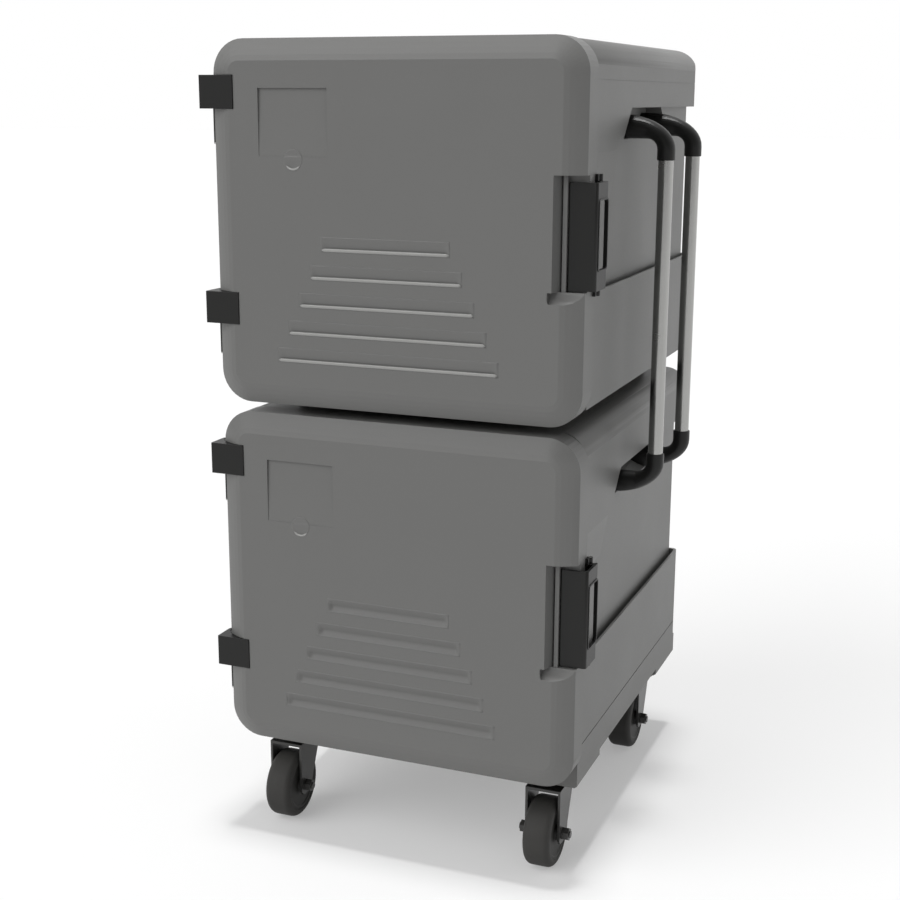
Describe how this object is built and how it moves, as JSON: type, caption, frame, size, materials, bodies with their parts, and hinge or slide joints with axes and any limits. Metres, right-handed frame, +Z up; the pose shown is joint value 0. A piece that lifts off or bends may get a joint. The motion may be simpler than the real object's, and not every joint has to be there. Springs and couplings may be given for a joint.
{
  "type": "enclosed meal tray cart",
  "caption": "Enclosed meal tray cart: stacked insulated front-loading cabinets with hinged doors, tray ledges, an upright tube handle and swivel casters.",
  "frame": {"origin": "on the floor under the middle of the overall width and depth", "axes": "+X to the handle side, +Y from the doors to the back, +Z up"},
  "size_m": [0.5894, 0.6294, 1.144],
  "materials": {
    "grey_plastic": "satin",
    "liner_plastic": "satin",
    "black_plastic": "satin",
    "dark_plastic": "matte",
    "foam": "matte",
    "seal_rubber": "matte",
    "tread_rubber": "matte",
    "black_metal": "satin",
    "pin_steel": "satin",
    "tube_aluminium": "satin"
  },
  "bodies": {
    "cart": {"lower_shell": "grey_plastic", "lower_foam": "foam", "lower_liner": "liner_plastic", "lower_tray_racks": "liner_plastic", "lower_hinge_bracket_top": "black_plastic", "lower_hinge_bracket_bottom": "black_plastic", "lower_hinge_pins": "pin_steel", "lower_latch_keeper": "black_plastic", "upper_shell": "grey_plastic", "upper_foam": "foam", "upper_liner": "liner_plastic", "upper_tray_racks": "liner_plastic", "upper_hinge_bracket_top": "black_plastic", "upper_hinge_bracket_bottom": "black_plastic", "upper_hinge_pins": "pin_steel", "upper_latch_keeper": "black_plastic", "stacking_plinth": "dark_plastic", "handle_tube_front": "tube_aluminium", "handle_tube_rear": "tube_aluminium", "elbow_upper_front": "black_plastic", "elbow_upper_rear": "black_plastic", "elbow_lower_front": "black_plastic", "elbow_lower_rear": "black_plastic", "caster_base": "grey_plastic", "caster_plate_fl": "black_metal", "caster_plate_fr": "black_metal", "caster_plate_rl": "black_metal", "caster_plate_rr": "black_metal"},
    "lower_door": {"lower_door_shell": "grey_plastic", "lower_door_foam": "foam", "lower_door_liner": "liner_plastic", "lower_door_gasket": "seal_rubber", "lower_hinge_block_top": "black_plastic", "lower_hinge_block_bottom": "black_plastic", "lower_latch_mount": "black_plastic", "lower_latch_pin": "pin_steel"},
    "lower_latch": {"lower_latch_lever": "black_plastic"},
    "upper_door": {"upper_door_shell": "grey_plastic", "upper_door_foam": "foam", "upper_door_liner": "liner_plastic", "upper_door_gasket": "seal_rubber", "upper_hinge_block_top": "black_plastic", "upper_hinge_block_bottom": "black_plastic", "upper_latch_mount": "black_plastic", "upper_latch_pin": "pin_steel"},
    "upper_latch": {"upper_latch_lever": "black_plastic"},
    "swivel_fl": {"caster_fork_fl": "black_metal"},
    "wheel_fl": {"wheel_hub_fl": "dark_plastic", "wheel_tread_fl": "tread_rubber"},
    "swivel_fr": {"caster_fork_fr": "black_metal"},
    "wheel_fr": {"wheel_hub_fr": "dark_plastic", "wheel_tread_fr": "tread_rubber"},
    "swivel_rl": {"caster_fork_rl": "black_metal"},
    "wheel_rl": {"wheel_hub_rl": "dark_plastic", "wheel_tread_rl": "tread_rubber"},
    "swivel_rr": {"caster_fork_rr": "black_metal"},
    "wheel_rr": {"wheel_hub_rr": "dark_plastic", "wheel_tread_rr": "tread_rubber"}
  },
  "joints": [
    {"name": "lower_door_hinge", "type": "hinge", "parent": "cart", "child": "lower_door", "pos_m": [-0.2883, -0.28325, 0.427], "axis": [0, 0, 1], "range_deg": [-180, 0]},
    {"name": "lower_latch_pivot", "type": "hinge", "parent": "lower_door", "child": "lower_latch", "pos_m": [0.2477, -0.25625, 0.3955], "axis": [0, 0, 1], "range_deg": [0, 95]},
    {"name": "upper_door_hinge", "type": "hinge", "parent": "cart", "child": "upper_door", "pos_m": [-0.2883, -0.28325, 0.931], "axis": [0, 0, 1], "range_deg": [-180, 0]},
    {"name": "upper_latch_pivot", "type": "hinge", "parent": "upper_door", "child": "upper_latch", "pos_m": [0.2477, -0.25625, 0.8995], "axis": [0, 0, 1], "range_deg": [0, 95]},
    {"name": "swivel_fl", "type": "hinge", "parent": "cart", "child": "swivel_fl", "pos_m": [-0.2218, -0.19125, 0.118], "axis": [0, 0, 1], "continuous": true},
    {"name": "wheel_fl_spin", "type": "hinge", "parent": "swivel_fl", "child": "wheel_fl", "pos_m": [-0.2218, -0.23525, 0.05], "axis": [1, 0, 0], "continuous": true},
    {"name": "swivel_fr", "type": "hinge", "parent": "cart", "child": "swivel_fr", "pos_m": [0.1862, -0.19125, 0.118], "axis": [0, 0, 1], "continuous": true},
    {"name": "wheel_fr_spin", "type": "hinge", "parent": "swivel_fr", "child": "wheel_fr", "pos_m": [0.1862, -0.23525, 0.05], "axis": [1, 0, 0], "continuous": true},
    {"name": "swivel_rl", "type": "hinge", "parent": "cart", "child": "swivel_rl", "pos_m": [-0.2218, 0.24275, 0.118], "axis": [0, 0, 1], "continuous": true},
    {"name": "wheel_rl_spin", "type": "hinge", "parent": "swivel_rl", "child": "wheel_rl", "pos_m": [-0.2218, 0.19875, 0.05], "axis": [1, 0, 0], "continuous": true},
    {"name": "swivel_rr", "type": "hinge", "parent": "cart", "child": "swivel_rr", "pos_m": [0.1862, 0.24275, 0.118], "axis": [0, 0, 1], "continuous": true},
    {"name": "wheel_rr_spin", "type": "hinge", "parent": "swivel_rr", "child": "wheel_rr", "pos_m": [0.1862, 0.19875, 0.05], "axis": [1, 0, 0], "continuous": true}
  ]
}
